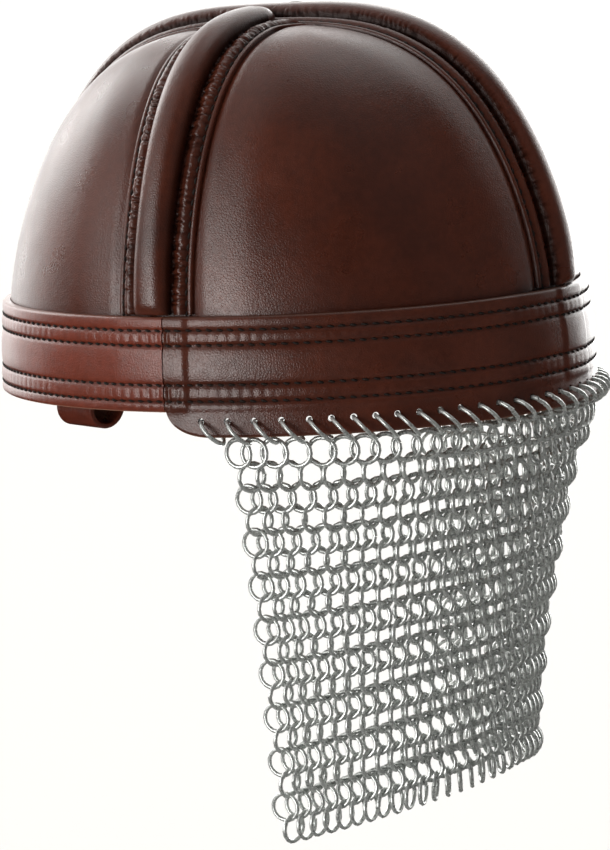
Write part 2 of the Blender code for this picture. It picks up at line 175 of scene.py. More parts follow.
backdrop.inputs["Color"].default_value = srgb("#fdfcfa")
world_tree.links.new(radiance, backdrop.inputs["Strength"])
bpy.context.scene.view_settings.view_transform = "Standard"


# Dome panels. Four pieces of 2.5 mm vegetable-tanned leather, wetted and moulded so that each one
# bulges between the ribs, then dyed dark brown and waxed. Their edges lie in a valley under the ribs.

half_length_mm = 118.0
half_width_mm = 101.0
band_height_mm = 35.0
flare_level_mm = 24.5
flare = 0.067
back_band_wall_mm = 2.4
clear_mm = 0.3
dome_top_mm = 139.4
round_across = 3.3
round_up = 1.47
back_fullness = 0.14
rib_half_mm = 16.0
seam_dip_mm = 3.0
side_rib_bearing = math.radians(-4.8)
corner_round_mm = 12.0
panel_wall_mm = 2.5
panel_hem_mm = 2.0

spread_at_rim = flare * (flare_level_mm - band_height_mm)
rim_half_x = half_width_mm + spread_at_rim - back_band_wall_mm - clear_mm
rim_half_y = half_length_mm + spread_at_rim - back_band_wall_mm - clear_mm
dome_rise = dome_top_mm - band_height_mm
side_rib_way = np.array([math.cos(side_rib_bearing), math.sin(side_rib_bearing), 0.0])


def smooth(share):
    share = np.clip(share, 0.0, 1.0)
    return share * share * (3 - 2 * share)


def value_noise(x, y, seed):
    """Smooth random values from -1 to 1, one knot per unit of x and of y."""
    knots = np.random.default_rng(seed).uniform(-1, 1, (256, 256))
    x, y = np.broadcast_arrays(np.asarray(x, float), np.asarray(y, float))
    column, row = np.floor(x).astype(int), np.floor(y).astype(int)
    u, v = smooth(x - column), smooth(y - row)
    a = knots[row % 256, column % 256] * (1 - u) + knots[row % 256, (column + 1) % 256] * u
    b = knots[(row + 1) % 256, column % 256] * (1 - u) + knots[(row + 1) % 256, (column + 1) % 256] * u
    return a * (1 - v) + b * v


def dome_point(way):
    """Panels' outer envelope in mm, along directions from the middle of the band's upper rim."""
    across = np.hypot(way[..., 0] / rim_half_x, way[..., 1] / rim_half_y)
    up = np.maximum(way[..., 2] / dome_rise, 0.0)
    lean = way[..., 1] / rim_half_y / np.maximum(across, 1e-9)
    power = round_up + back_fullness * lean * np.minimum(1.0, 2 * across / np.maximum(across + up, 1e-9))
    low = np.zeros_like(across)
    high = 2.0 / np.maximum(across, up)
    for _ in range(40):
        middle = (low + high) / 2
        inside = (middle * across) ** round_across + (middle * up) ** power < 1.0
        low = np.where(inside, middle, low)
        high = np.where(inside, high, middle)
    return np.array([0.0, 0.0, band_height_mm]) + way * low[..., None]


def unit(vectors):
    return vectors / np.linalg.norm(vectors, axis=-1, keepdims=True)


def band_point(turn, z, offset):
    """Point of the band's wall in mm: turn in radians from the wearer's left, offset outwards."""
    turn, z, offset = np.broadcast_arrays(turn, z, offset)
    spread = flare * (flare_level_mm - z)
    half_x, half_y = half_width_mm + spread, half_length_mm + spread
    normal = unit(np.stack([np.cos(turn) / half_x, np.sin(turn) / half_y], -1))
    x = half_x * np.cos(turn) + normal[..., 0] * offset
    y = half_y * np.sin(turn) + normal[..., 1] * offset
    return np.stack([x, y, z.astype(float)], -1)


def rib_distance(points):
    """Distance in mm from a point to the nearest rib's edge, below nought under a rib."""
    to_long = np.abs(points[..., 0]) - rib_half_mm
    to_side = np.abs(
        np.abs(points[..., 0]) * side_rib_way[1] - points[..., 1] * side_rib_way[0]) - rib_half_mm
    near = np.minimum(to_long, to_side)
    inner = np.hypot(
        np.maximum(corner_round_mm - to_long, 0.0), np.maximum(corner_round_mm - to_side, 0.0))
    high_up = smooth((points[..., 2] - 110.0) / 10.0)
    in_corner = (to_long < corner_round_mm) & (to_side < corner_round_mm)
    corner = np.where(in_corner, corner_round_mm - inner, near)
    return near * (1 - high_up) + corner * high_up


def seam_depth(points):
    """How far the moulded panel lies under its envelope: a tight shoulder, then a long bulge."""
    distance = rib_distance(points)
    shoulder = 1 - smooth(distance / 4.5)
    bulge = 1 - smooth(distance / 24.0)
    return seam_dip_mm * (0.42 * shoulder + 0.58 * bulge)


def surface_normals(points, outwards):
    """Unit normals of a grid of points, turned to the side of the given directions."""
    along = np.gradient(points, axis=0)
    across = np.gradient(points, axis=1)
    normals = np.cross(along, across)
    length = np.maximum(np.linalg.norm(normals, axis=-1, keepdims=True), 1e-12)
    normals = normals / length
    side = np.sign((normals * outwards).sum(-1, keepdims=True))
    return normals * np.where(side == 0, 1, side)


def grid_faces(rows, columns, closed):
    """Quads over rows of points; closed joins each row's last point to its first."""
    last = columns if closed else columns - 1
    faces = []
    for row in range(rows - 1):
        for column in range(last):
            after = (column + 1) % columns
            faces.append((
                row * columns + column, row * columns + after,
                (row + 1) * columns + after, (row + 1) * columns + column))
    return faces


def grid_mesh(name, points, flip=False):
    """Open smooth surface over a grid of points in mm."""
    rows, columns = points.shape[:2]
    faces = grid_faces(rows, columns, False)
    if flip:
        faces = [face[::-1] for face in faces]
    mesh = bpy.data.meshes.new(name)
    mesh.from_pydata((points.reshape(-1, 3) * MM).tolist(), [], faces)
    mesh.shade_smooth()
    return mesh


def add_value(mesh, name, values):
    """Stores one number for each point of a mesh."""
    layer = mesh.attributes.new(name, "FLOAT", "POINT")
    layer.data.foreach_set("value", np.asarray(values, dtype=np.float32).ravel())


def blotches(tree, place, size_mm, detail, roughness=0.5):
    """Soft noise from 0 to 1 with blotches of about one size."""
    noise = add_node(tree, "ShaderNodeTexNoise", {
        "Vector": place, "Scale": 1 / (size_mm * MM), "Detail": detail, "Roughness": roughness})
    return noise.outputs["Fac"]


def ranged(tree, value, from_low, from_high, low=0.0, high=1.0):
    """A value moved from one range to another and clamped to it."""
    return add_node(tree, "ShaderNodeMapRange", {
        "Value": value, "From Min": from_low, "From Max": from_high, "To Min": low, "To Max": high,
    }).outputs["Result"]


def mixed(tree, share, first, second):
    """A mix of two colours."""
    return add_node(tree, "ShaderNodeMix", {
        "Factor": share, "A": first, "B": second}, data_type="RGBA").outputs["Result"]


def bumped(tree, shader, height, strength, depth_mm):
    """Gives a surface shader a fine relief."""
    normal = add_node(tree, "ShaderNodeBump", {
        "Strength": strength, "Distance": depth_mm * MM, "Height": height}).outputs["Normal"]
    tree.links.new(normal, shader.inputs["Normal"])


def waxed_leather(name, shade, tone, worn, gloss):
    """Waxed leather. Dye lies unevenly in patches of a few centimetres, edges rub paler, and the hair side
    keeps its fine grain under a thin film of wax. A stored value per point paints shade: it darkens the
    colour and lowers the gloss in the stitch grooves, the wrinkles' hollows and the ribs' valleys."""
    material, tree, shader = new_material(name)
    place = add_node(tree, "ShaderNodeTexCoord").outputs["Object"]
    dye = ranged(tree, blotches(tree, place, 45.0, 4.0, 0.55), 0.3, 0.7)
    colour = mixed(tree, dye, srgb(shade), srgb(tone))
    mottle = blotches(tree, place, 2.5, 3.0)
    flecks = ranged(tree, mottle, 0.25, 0.75, 0.84, 1.14)
    # Painted shade: the stored per-point value darkens the colour by up to four fifths and lowers the
    # specular level
    painted_shade_and_darkening = add_node(tree, "ShaderNodeAttribute", attribute_name="painted_shade_and_darkening").outputs["Fac"]
    shade_and_darkening_factor = add_node(tree, "ShaderNodeMath", {
        0: painted_shade_and_darkening, 1: -0.8, 2: 1.0}, operation="MULTIPLY_ADD").outputs[0]
    tint = combined(tree, "MULTIPLY", flecks, shade_and_darkening_factor)
    colour = add_node(tree, "ShaderNodeVectorMath", {
        0: colour, "Scale": tint}, operation="SCALE").outputs["Vector"]
    edge = add_node(tree, "ShaderNodeAttribute", attribute_name="edge").outputs["Fac"]
    colour = mixed(tree, edge, colour, srgb(worn))
    tree.links.new(colour, shader.inputs["Base Color"])
    smears = blotches(tree, place, 18.0, 3.0)
    rough = ranged(tree, smears, 0.3, 0.7, gloss - 0.04, gloss + 0.05)
    tree.links.new(rough, shader.inputs["Roughness"])
    sheen = add_node(tree, "ShaderNodeMath", {
        0: painted_shade_and_darkening, 1: -0.45, 2: 0.5}, operation="MULTIPLY_ADD").outputs[0]
    tree.links.new(sheen, shader.inputs["Specular IOR Level"])
    cells = add_node(tree, "ShaderNodeTexVoronoi", {
        "Vector": place, "Scale": 1 / (1.0 * MM)}, feature="DISTANCE_TO_EDGE").outputs["Distance"]
    relief = combined(tree, "ADD", ranged(tree, cells, 0.0, 0.28), mottle)
    bumped(tree, shader, relief, 0.55, 0.07)
    return material


# The brown hide of the panels, the ribs and the band's back piece
brown_leather = waxed_leather("brown_waxed_leather", "#401d13", "#572819", "#6d5040", 0.30)

# The flesh side: undyed fibres, matt and paler, seen only inside the dome
flesh_side, flesh_tree, flesh_shader = new_material("leather_flesh_side")
flesh_place = add_node(flesh_tree, "ShaderNodeTexCoord").outputs["Object"]
flesh_nap = blotches(flesh_tree, flesh_place, 1.6, 5.0, 0.7)
flesh_colour = mixed(flesh_tree, flesh_nap, srgb("#5a3a28"), srgb("#8a6448"))
flesh_tree.links.new(flesh_colour, flesh_shader.inputs["Base Color"])
flesh_shader.inputs["Roughness"].default_value = 0.85
bumped(flesh_tree, flesh_shader, flesh_nap, 0.6, 0.15)


def panel_points(first, last):
    """Outer face of one panel, from its hem behind the band up to the crown."""
    columns, band_rows, rises = 76, 9, 92
    share = np.linspace(0, 1, columns)
    turns = first + (last - first) * (share - 0.06 * np.sin(2 * math.pi * share))
    heights = np.linspace(panel_hem_mm, band_height_mm, band_rows)[:, None]
    lower = band_point(turns[None, :], heights, -(back_band_wall_mm + clear_mm))
    outwards = unit(lower * [1, 1, 0])
    lower = lower - outwards * seam_depth(lower)[..., None]
    climbs = (math.pi / 2) * (np.linspace(0, 1, rises + 1)[1:, None])
    flat = np.stack([rim_half_x * np.cos(turns), rim_half_y * np.sin(turns), 0 * turns], -1)
    reach = np.maximum(np.cos(climbs), 3.5 / np.linalg.norm(flat, axis=-1)[None, :])
    way = flat[None] * reach[..., None]
    way[..., 2] = dome_rise * np.sin(climbs)
    upper = dome_point(way)
    centre = np.array([0.0, 0.0, band_height_mm])
    normals = surface_normals(upper, upper - centre)
    upper = upper - normals * seam_depth(upper)[..., None]
    return np.concatenate([lower, upper])


def both_sides(points):
    """A shape on the wearer's left and its mirror image on the right."""
    return ("left", points), ("right", points * [-1, 1, 1])


def step_turn(turn, length):
    """Turn in radians that lies a length in mm further along the band."""
    for _ in range(8):
        speed = math.hypot(half_width_mm * math.sin(turn), half_length_mm * math.cos(turn))
        turn += length / 8 / speed
    return turn


seam_gap_mm = 0.3
front_span = (step_turn(-math.pi / 2, seam_gap_mm), step_turn(side_rib_bearing, -seam_gap_mm))
back_span = (step_turn(side_rib_bearing, seam_gap_mm), step_turn(math.pi / 2, -seam_gap_mm))
for place, (first, last) in (("front", front_span), ("back", back_span)):
    for side, shape in both_sides(panel_points(first, last)):
        name = "moulded_panel_%s_%s" % (place, side)
        mesh = grid_mesh(name, shape, flip=side == "right")
        add_value(mesh, "edge", np.zeros(len(mesh.vertices)))
        panel = new_piece(name, mesh, [brown_leather, flesh_side])
        wall = panel.modifiers.new("wall", "SOLIDIFY")
        wall.thickness = panel_wall_mm * MM
        wall.offset = -1.0
        wall.material_offset = 1
        wall.material_offset_rim = 1
        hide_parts("panel_%s_%s" % (place, side))
        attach(panel, "root")


# Ribs. Leather strips glued and sewn over a cord core along the seams between the panels. The cord
# lifts a smooth half-round ridge, and the strip's flat sides gather into fine wrinkles on the curve.

rib_wall_mm = 1.8
rib_seat_mm = 0.2
ridge_half_mm = 7.5
ridge_height_mm = 6.5
seam_across_mm = rib_half_mm - 2.1
nose_mm = 5.0
settle_mm = 22.0
rib_row_mm = 0.42


def climb_way(plane, climb):
    """Directions from the middle of the band's rim that climb the dome over a compass direction."""
    reach = 1 / math.hypot(plane[0] / rim_half_x, plane[1] / rim_half_y)
    way = plane[None, :] * (reach * np.cos(climb))[:, None]
    way[:, 2] = dome_rise * np.sin(climb)
    return way


def even_climbs(plane, first, last, spacing):
    """Climbs at even distances along the dome, and those distances in mm."""
    fine = np.linspace(first, last, 1200)
    path = dome_point(climb_way(plane, fine))
    reach = np.concatenate([[0.0], np.cumsum(np.linalg.norm(np.diff(path, axis=0), axis=1))])
    count = int(round(reach[-1] / spacing)) + 1
    run = np.linspace(0, reach[-1], count)
    return np.interp(run, reach, fine), run


def rib_frames(plane, climbs):
    """Centre, outward normal and direction for each row of a rib."""
    way = climb_way(plane, climbs)
    small = 1e-3
    ahead = dome_point(climb_way(plane, climbs + small)) - dome_point(climb_way(plane, climbs - small))
    across = np.array([-plane[1], plane[0], 0.0])
    normal = unit(np.cross(np.broadcast_to(across, ahead.shape), ahead))
    centre = dome_point(way)
    away = centre - np.array([0.0, 0.0, band_height_mm])
    normal = normal * np.sign((normal * away).sum(-1, keepdims=True))
    return way, across, normal


def ridge_arch():
    """The ridge's section, half round but fuller at its shoulders, as shares of half width and height."""
    turns = np.linspace(0, math.pi, 41)
    across = np.sign(np.cos(turns)) * np.abs(np.cos(turns)) ** 0.82
    return across, np.sin(turns) ** 0.76


def rib_profile():
    """Distances across, heights over the flange, and ridge share of the rib's upper face."""
    flange = np.array([
        16.0, 15.9, 15.6, 15.1, 14.6, 14.25, 13.9, 13.55, 13.2, 12.6, 11.9, 11.1, 10.3, 9.5, 8.8, 8.2])
    edge_drop = np.array([
        -0.55, -0.25, -0.05, 0.0, -0.05, -0.35, -0.6, -0.25, 0.35, 0.9, 1.22, 1.28, 1.0, 0.5, 0.0, -0.25])
    across, up = ridge_arch()
    a = np.concatenate([flange, ridge_half_mm * across, -flange[::-1]])
    h = np.concatenate([edge_drop, ridge_height_mm * up, edge_drop[::-1]])
    is_ridge = np.concatenate([0 * flange, np.ones(len(across)), 0 * flange])
    return a, h, is_ridge


def closed_body(name, sections):
    """Closed smooth body through closed sections, given as rows of points in mm."""
    rows, columns = sections.shape[:2]
    faces = grid_faces(rows, columns, True)
    faces.append(tuple(range(columns))[::-1])
    faces.append(tuple(range((rows - 1) * columns, rows * columns)))
    points = sections.reshape(-1, 3)
    triangles = []
    for face in faces:
        for k in range(1, len(face) - 1):
            triangles.append((face[0], face[k], face[k + 1]))
    corners = points[np.array(triangles)]
    volume = np.einsum("ij,ij->i", corners[:, 0], np.cross(corners[:, 1], corners[:, 2])).sum()
    if volume < 0:
        faces = [face[::-1] for face in faces]
    mesh = bpy.data.meshes.new(name)
    mesh.from_pydata((points * MM).tolist(), [], faces)
    mesh.shade_smooth()
    mesh.set_sharp_from_angle(angle=math.radians(50))
    return mesh


def flange_share(across_mm):
    """How far out a point lies, from 0 at the ridge's foot to 1 at the strip's edge."""
    return np.clip((np.abs(across_mm) - rib_half_mm / 2) / (rib_half_mm / 2), 0, 1)


def rib_sections(plane, climbs, run, wrinkle_flange, wrinkle_ridge, fillet, seed):
    """Sections of a rib, its path of stitches on both sides, and the painted shade of each point.
    The wrinkles are in mm; fillet is the radius at the strip's upper end, where its edges turn aside."""
    way, across, normal = rib_frames(plane, climbs)
    a, h, is_ridge = rib_profile()
    centre = dome_point(way)
    height = centre[:, 2] - band_height_mm
    nose = 0.30 + 0.70 * np.sqrt(np.clip(1 - (1 - np.clip(height / nose_mm, 0, 1)) ** 2, 0, 1))
    settle = 0.88 + 0.12 * smooth(height / settle_mm)
    a_grid = np.broadcast_to(a, (len(climbs), len(a))).copy()
    widen = np.zeros(len(climbs))
    if fillet is not None:
        gap = np.clip(fillet - run, 0, corner_round_mm)
        widen = corner_round_mm - np.sqrt(corner_round_mm ** 2 - gap ** 2)
        a_grid = a_grid + np.sign(a) * flange_share(a) * widen[:, None]
    rise = h[None, :] * np.where(is_ridge > 0, (nose * settle)[:, None], 1.0)
    lower_side = np.clip(1.15 - np.maximum(h, 0) / ridge_height_mm * 1.3, 0, 1)
    flange_roll = smooth((14.0 - np.abs(a)) / 1.0) * (1 - is_ridge)
    strength = wrinkle_flange * flange_roll + wrinkle_ridge * is_ridge * smooth(lower_side * 1.4)
    if wrinkle_flange > wrinkle_ridge:
        strength = np.maximum(strength, wrinkle_flange * 0.9 * is_ridge * np.clip(1 - h / 1.6, 0, 1))
    warp = value_noise(run[:, None] / 9.0, a[None, :] / 5.0, seed) * 1.1
    wavy = run[:, None] + warp
    folds = 0.62 * value_noise(wavy / 0.85, a[None, :] / 5.0, seed + 1)
    folds = folds + 0.38 * value_noise(wavy / 0.6, a[None, :] / 2.6, seed + 2)
    cells = value_noise(wavy / 0.8, a[None, :] / 1.1, seed + 4)
    folds = folds + is_ridge * (0.35 * folds + 0.65 * cells - folds)
    swell = 0.75 + 0.45 * value_noise(run[:, None] / 14.0, np.sign(a)[None, :] * 3 + 5, seed + 3)
    rise = rise + strength * folds * swell
    points = dome_point(way[:, None, :] + across * a_grid[..., None])
    top = points + normal[:, None, :] * (rise + rib_seat_mm - seam_dip_mm + rib_wall_mm)[..., None]
    under_a = np.linspace(-rib_half_mm, rib_half_mm, 9)
    under_grid = under_a[None, :] + np.sign(under_a) * flange_share(under_a) * widen[:, None]
    under = dome_point(way[:, None, :] + across * under_grid[..., None])
    under = under + normal[:, None, :] * (rib_seat_mm - seam_dip_mm)
    # Painted shade: darkening along the stitch lines, in the valleys at the ridge's feet and in the
    # wrinkles' hollows, and 0.3 on the underside
    seam_line_shade = np.exp(-((np.abs(a) - seam_across_mm) / 0.5) ** 2) * (1 - is_ridge) * 0.6
    valley_shade = np.exp(-((np.abs(a) - 7.7) / 0.8) ** 2) * 0.95
    painted_shade_and_darkening = seam_line_shade + valley_shade + np.clip(-folds * strength * 1.6, 0, 0.6)
    painted_shade_and_darkening = np.concatenate([painted_shade_and_darkening, np.ones_like(under_grid) * 0.3], axis=1)
    seam_index = [int(np.argmin(np.abs(a - side * seam_across_mm) + 10 * is_ridge)) for side in (1, -1)]
    seams = [(top[:, k], np.broadcast_to(normal, top[:, k].shape)) for k in seam_index]
    return np.concatenate([top, under], axis=1), seams, np.clip(painted_shade_and_darkening, 0, 1)


stitch_paths = []
low_climb = math.asin((clear_mm + 0.2) / dome_rise)
long_plane = np.array([0.0, 1.0, 0.0])
long_climbs, long_run = even_climbs(long_plane, low_climb, math.pi - low_climb, rib_row_mm)
sections, seams, painted_shade_and_darkening = rib_sections(long_plane, long_climbs, long_run, 0.14, 0.85, None, 11)
stitch_paths += seams
long_rib_mesh = closed_body("sewn_rib_front_back", sections)
add_value(long_rib_mesh, "painted_shade_and_darkening", painted_shade_and_darkening)
long_rib = new_piece("sewn_rib_front_back", long_rib_mesh, [brown_leather])
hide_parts("rib_front_back")
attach(long_rib, "root")

side_plane = side_rib_way
whole_side, _ = even_climbs(side_plane, low_climb, math.pi / 2 - 0.01, rib_row_mm)
side_reach = dome_point(climb_way(side_plane, whole_side)) @ side_plane
stop_mm = rib_half_mm * (1 + abs(side_plane[1]) + 0.02) + 2 * clear_mm
side_high = float(np.interp(-stop_mm, -side_reach, whole_side))
side_climbs, side_run = even_climbs(side_plane, low_climb, side_high, rib_row_mm)
sections, seams, painted_shade_and_darkening = rib_sections(
    side_plane, side_climbs, side_run[-1] - side_run, 0.8, 0.05, corner_round_mm, 31)

# The ridge's rounded tip, which lies on the long rib's flange
tip_rows = 14
tip_stop_mm = ridge_half_mm * (1 + abs(side_plane[1])) + 3 * clear_mm
tip_share = np.sin(np.linspace(0, math.pi / 2, tip_rows))
tip_reach = stop_mm + (tip_stop_mm - stop_mm) * tip_share
tip_climbs = np.interp(-tip_reach, -side_reach, whole_side)
tip_way, tip_across, tip_normal = rib_frames(side_plane, tip_climbs)
arch_across, arch_up = ridge_arch()
round_off = np.sqrt(np.clip(1 - (np.clip((tip_reach - tip_stop_mm) / ridge_half_mm, 0, 1) - 1) ** 2, 0.0, 1))
tip_a = ridge_half_mm * arch_across[None, :] * (0.35 + 0.65 * round_off[:, None])
tip_h = (ridge_height_mm - 0.2) * arch_up[None, :] * (0.06 + 0.94 * round_off[:, None])
tip_base = 2 * rib_seat_mm + rib_wall_mm - seam_dip_mm - 0.3
tip_top = dome_point(tip_way[:, None, :] + tip_across * tip_a[..., None])
tip_top = tip_top + tip_normal[:, None, :] * (tip_base + tip_h)[..., None]
for (side, shape), (_, tip_shape) in zip(both_sides(sections), both_sides(tip_top)):
    mesh = closed_body("sewn_rib_%s" % side, shape)
    add_value(mesh, "painted_shade_and_darkening", painted_shade_and_darkening)
    rib = new_piece("sewn_rib_%s" % side, mesh, [brown_leather])
    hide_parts("rib_%s" % side)
    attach(rib, "root")
    tip_mesh = closed_body("sewn_rib_tip_%s" % side, tip_shape)
    tip = new_piece("sewn_rib_tip_%s" % side, tip_mesh, [brown_leather])
    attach(tip, "root")
    flip = [1, 1, 1] if side == "left" else [-1, 1, 1]
    stitch_paths += [(path * flip, normal * flip) for path, normal in seams]


# Brow band. Two pieces of the same leather, sewn on with four rows of stitches: the front piece laps
# over the back piece at the temples. The rows pull the leather into grooves and puckers.

front_wall_mm = 2.8
skived_mm = 0.9
lap_turn = math.radians(-1.0)
lap_length_mm = 8.0
flap_drop_mm = 9.3
flap_corner_mm = 17.0
row_levels_mm = (30.1, 24.6, 10.05, 4.05)
stitch_pitch_mm = 4.1
lap_pucker_mm = 30.0
band_step_mm = 0.75
front_steps_mm = 14.0
back_steps_mm = 3.2

# Where the ribs' ends push the band out: turn, half width in mm and height in mm
rib_bumps = (
    (side_rib_bearing, 17.0, 0.9), (math.pi / 2, 10.0, 0.8), (math.pi - side_rib_bearing, 17.0, 0.9),
    (-math.pi / 2, 10.0, 0.8), (-math.pi - side_rib_bearing, 17.0, 0.9),
)


def band_run(turns):
    """Distance in mm along the band from the wearer's left."""
    fine = np.linspace(-2 * math.pi, 2 * math.pi, 4001)
    path = np.stack([half_width_mm * np.cos(fine), half_length_mm * np.sin(fine)], -1)
    reach = np.concatenate([[0.0], np.cumsum(np.linalg.norm(np.diff(path, axis=0), axis=1))])
    return np.interp(turns, fine, reach) - np.interp(0.0, fine, reach)


def band_turn(run):
    """Turn in radians at a distance in mm along the band from the wearer's left."""
    fine = np.linspace(-2 * math.pi, 2 * math.pi, 4001)
    return np.interp(run, band_run(fine), fine)


def band_relief(run, z, seed, step_mm):
    """Height in mm of the band's worked surface over its plain wall, and the painted shade of its stitch
    rows.
    """
    relief = np.zeros(np.broadcast(run, z).shape)
    painted_shade_and_darkening = np.zeros_like(relief)
    top, second, third, fourth = row_levels_mm
    phase = run / stitch_pitch_mm
    nearest = np.round(phase)
    uneven = 0.75 + 0.5 * value_noise(nearest / 1.7, seed, seed)
    beside = (phase - nearest) * stitch_pitch_mm + 0.25 * value_noise(nearest, z / 2, seed)
    near_lap = np.exp(-(run / lap_pucker_mm) ** 2)
    far_lap = np.exp(-((np.abs(run) - band_run(math.pi)) / lap_pucker_mm) ** 2)
    crease = np.exp(-(beside / 0.8) ** 2) * uneven * (0.22 + 0.78 * np.maximum(near_lap, far_lap))
    for level in row_levels_mm:
        line = np.exp(-((z - level) / 0.55) ** 2)
        relief = relief - 0.58 * line
        # Painted shade darkens each stitch row's groove
        painted_shade_and_darkening = painted_shade_and_darkening + 0.5 * line
    for high, low, puff in ((top, second, 0.55), (third, fourth, 0.5)):
        middle, half = (high + low) / 2, (high - low) / 2
        inside = np.clip(1 - ((z - middle) / half) ** 2, 0, 1) ** 0.7
        relief = relief + inside * (puff - 0.6 * crease)
        fade = smooth(1 - np.abs(z - middle) / (half + 2.6)) * (np.abs(z - middle) > half)
        relief = relief - fade * 0.3 * crease
    middle, half = (second + third) / 2, (second - third) / 2
    field = np.clip(1 - np.abs((z - middle) / half) ** 3.0, 0, 1)
    relief = relief + 0.7 * field
    relief = relief + 0.18 * field * value_noise(run / 17.0, z / 14.0, seed + 5)
    lip = np.clip(1 - ((z - 32.6) / 2.5) ** 2, 0, 1)
    relief = relief + 0.25 * lip
    below = np.clip((fourth - z) / 4.0, 0, 1)
    relief = relief + 0.35 * np.sin(np.pi * np.clip(below, 0, 1)) * (1 - 0.7 * crease)
    for centre, half_bump, lift in rib_bumps:
        away = np.abs(run - band_run(centre))
        bump = 1 - smooth((away - half_bump) / step_mm + 0.5)
        upper = smooth((z + 2.0) / 6.0)
        relief = relief + lift * bump * upper
    return relief, np.clip(painted_shade_and_darkening, 0, 1)


def band_sections(turns, low_z, inner, outer, seed, step_mm):
    """Closed sections of a band piece: the worked outer face, rounded edges and the plain inside."""
    steps = np.linspace(0, 1, 62)
    run = band_run(turns)
    z = low_z[:, None] + (band_height_mm - low_z)[:, None] * steps[None, :]
    relief, painted_shade_and_darkening = band_relief(run[:, None], z, seed, step_mm)
    edge_round = 0.8
    low_gap = np.clip(z - low_z[:, None], 0, edge_round)
    high_gap = np.clip(band_height_mm - z, 0, edge_round)
    pull = edge_round - np.sqrt(edge_round ** 2 - (edge_round - low_gap) ** 2)
    pull = pull + edge_round - np.sqrt(edge_round ** 2 - (edge_round - high_gap) ** 2)
    outer_face = band_point(turns[:, None], z, outer[:, None] + relief - pull * 0.8)
    inside_steps = np.linspace(1, 0, 5)
    inside_z = low_z[:, None] + (band_height_mm - low_z)[:, None] * inside_steps[None, :]
    inner_face = band_point(turns[:, None], inside_z, inner[:, None])
    sections = np.concatenate([outer_face, inner_face], axis=1)
    worn = np.clip(pull / edge_round * 1.5 - 0.65, 0, 1) * np.where(low_gap < edge_round, 1.0, 0.3)
    painted_shade_and_darkening = np.concatenate([painted_shade_and_darkening, 0 * inside_z], axis=1)
    worn = np.concatenate([worn, 0 * inside_z + 0.2], axis=1)
    return sections, painted_shade_and_darkening, worn


def stitch_rows(first, last, outer, levels, seed, step_mm):
    """Paths along the grooves of a band piece, from one stitch hole to the last."""
    paths = []
    start, end = band_run(np.array([first, last]))
    low_mark = math.ceil(start / stitch_pitch_mm)
    high_mark = math.floor(end / stitch_pitch_mm)
    run = np.arange(low_mark * stitch_pitch_mm, high_mark * stitch_pitch_mm + 1e-6, stitch_pitch_mm / 4)
    turns = band_turn(run)
    for level in levels:
        relief, _ = band_relief(run, np.full_like(run, level), seed, step_mm)
        path = band_point(turns, np.full_like(run, level), outer + relief)
        ahead = band_point(turns, np.full_like(run, level), outer + relief + 1.0)
        paths.append((path, ahead - path))
    return paths


# The redder hide of the band's front piece and the strap loops
red_brown_leather = waxed_leather("red_brown_waxed_leather", "#5f291b", "#763424", "#9a735f", 0.31)

lap_end_turn = step_turn(lap_turn, -lap_length_mm)
front_start = band_run(-math.pi - lap_turn)
front_length = band_run(lap_turn) - front_start
front_turns = np.append(band_turn(np.arange(0, front_length, band_step_mm) + front_start), lap_turn)
lap_gap = np.minimum(lap_turn - front_turns, front_turns + math.pi + lap_turn)
over_lap = lap_gap < lap_turn - lap_end_turn
front_inner = np.where(over_lap, skived_mm + clear_mm - back_band_wall_mm, -back_band_wall_mm)
front_face_mm = front_wall_mm - back_band_wall_mm
sections, painted_shade_and_darkening, worn = band_sections(
    front_turns, 0 * front_turns, front_inner, 0 * front_turns + front_face_mm, 3, front_steps_mm)
front_mesh = closed_body("brow_band_front", sections)
add_value(front_mesh, "painted_shade_and_darkening", painted_shade_and_darkening)
add_value(front_mesh, "edge", worn)
front_band = new_piece("brow_band_front", front_mesh, [red_brown_leather])
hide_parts("band_front")
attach(front_band, "root")
stitch_paths += stitch_rows(-math.pi - lap_turn, lap_turn, front_face_mm, row_levels_mm, 3, front_steps_mm)

back_start = step_turn(lap_turn, clear_mm)
back_length = band_run(math.pi - back_start) - band_run(back_start)
back_run = np.linspace(0, back_length, int(back_length / band_step_mm))
corner_fine = flap_corner_mm * (1 - np.cos(np.linspace(0, math.pi / 2, 24)))
back_run = np.unique(np.concatenate([back_run, corner_fine, back_length - corner_fine]))
back_turns = band_turn(back_run + band_run(back_start))
to_end = np.minimum(back_run, back_length - back_run)
corner_share = np.clip(to_end / flap_corner_mm, 0, 1)
back_low = -flap_drop_mm * np.sqrt(np.clip(1 - (1 - corner_share) ** 2, 0, 1))
back_inner = np.full_like(back_turns, -back_band_wall_mm)
sections, painted_shade_and_darkening, worn = band_sections(back_turns, back_low, back_inner, 0 * back_turns, 4, back_steps_mm)
back_mesh = closed_body("brow_band_back", sections)
add_value(back_mesh, "painted_shade_and_darkening", painted_shade_and_darkening)
add_value(back_mesh, "edge", worn)
back_band = new_piece("brow_band_back", back_mesh, [brown_leather])
stitch_paths += stitch_rows(back_start, math.pi - back_start, 0.0, row_levels_mm, 4, back_steps_mm)

# The skived tongues of the back piece under the front piece's ends
tongue_end = step_turn(lap_turn, -lap_length_mm + clear_mm)
tongue_turns = np.linspace(tongue_end, lap_turn, 8)
heights = np.linspace(0.3, band_height_mm - 0.3, 12)
tongue_outer = band_point(tongue_turns[:, None], heights[None, :], skived_mm - back_band_wall_mm)
tongue_inner = band_point(tongue_turns[:, None], heights[None, ::-1], -back_band_wall_mm)
tongue = np.concatenate([tongue_outer, tongue_inner], axis=1)
for side, shape in both_sides(tongue):
    tongue_mesh = closed_body("band_tongue_%s" % side, shape)
    tongue_piece = new_piece("band_tongue_%s" % side, tongue_mesh, [brown_leather])
    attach(tongue_piece, "root")


